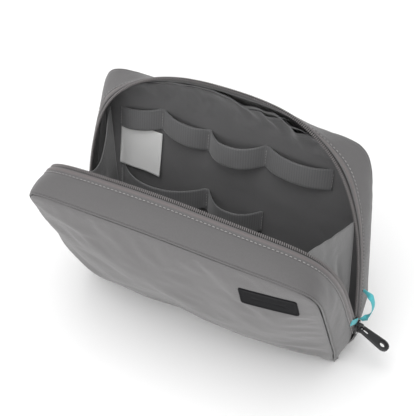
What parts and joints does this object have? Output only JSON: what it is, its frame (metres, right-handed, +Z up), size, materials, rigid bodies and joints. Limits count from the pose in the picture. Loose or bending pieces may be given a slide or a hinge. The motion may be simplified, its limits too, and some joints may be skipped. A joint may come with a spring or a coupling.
{
  "type": "cable organizer pouch",
  "caption": "Soft zip-round travel pouch standing open on its base, with padded trays, elastic organizer loops inside, a zip slider with a puller and a ribbon loop.",
  "frame": {"origin": "on the floor, under the middle of the fold line between the two trays", "axes": "+X to the pouch's right, +Y to its back, +Z up; the mouth opens up and toward -Y"},
  "size_m": [0.2683, 0.1463, 0.195],
  "materials": {
    "outer_fabric": "plain woven polyester",
    "piping": "folded cloth over a cord",
    "board": "smooth",
    "foam": "closed-cell padding",
    "lining_fabric": "fine lining cloth",
    "wing_fabric": "fine lining cloth",
    "zip_tape": "herringbone tape",
    "zip_coil": "moulded coil",
    "elastic": "ribbed elastic",
    "label": "satin label",
    "ribbon": "ribbed ribbon",
    "patch": "matte",
    "slider": "gloss black",
    "puller": "moulded"
  },
  "bodies": {
    "rear_tray": {"base_panel": "outer_fabric", "base_board": "board", "rear_panel": "outer_fabric", "rear_board": "board", "rear_foam": "foam", "rear_gusset": "outer_fabric", "rear_piping": "piping", "rear_lining": "lining_fabric", "rear_zip_tape": "zip_tape", "rear_zip_coil": "zip_coil", "organizer_wall": "lining_fabric", "upper_elastic_band": "elastic", "lower_elastic_band": "elastic", "care_label": "label", "left_side_wing": "wing_fabric", "right_side_wing": "wing_fabric", "left_end_tab": "outer_fabric", "right_end_tab": "outer_fabric", "zip_stop": "zip_coil", "ribbon_loop": "ribbon"},
    "front_tray": {"front_panel": "outer_fabric", "front_foam": "foam", "front_gusset": "outer_fabric", "front_piping": "piping", "front_lining": "lining_fabric", "front_zip_tape": "zip_tape", "front_zip_coil": "zip_coil", "front_patch": "patch"},
    "slider": {"slider_body": "slider", "slider_bridge": "slider"},
    "puller": {"puller_tab": "puller"}
  },
  "joints": [
    {"name": "front_fold", "type": "hinge", "parent": "rear_tray", "child": "front_tray", "pos_m": [0, 0, 0.042], "axis": [-1, 0, 0], "range_deg": [0, 37.5], "deforming": ["left_side_wing", "right_side_wing"]},
    {"name": "slider_travel", "type": "slide", "parent": "rear_tray", "child": "slider", "axis": [-0.0599, 0.1562, 0.9859], "range_m": [0, 0.012]},
    {"name": "puller_swing", "type": "hinge", "parent": "slider", "child": "puller", "pos_m": [0.12162, -0.00125, 0.0341], "axis": [0, 0.9877, -0.1564], "range_deg": [-110, 60]}
  ]
}
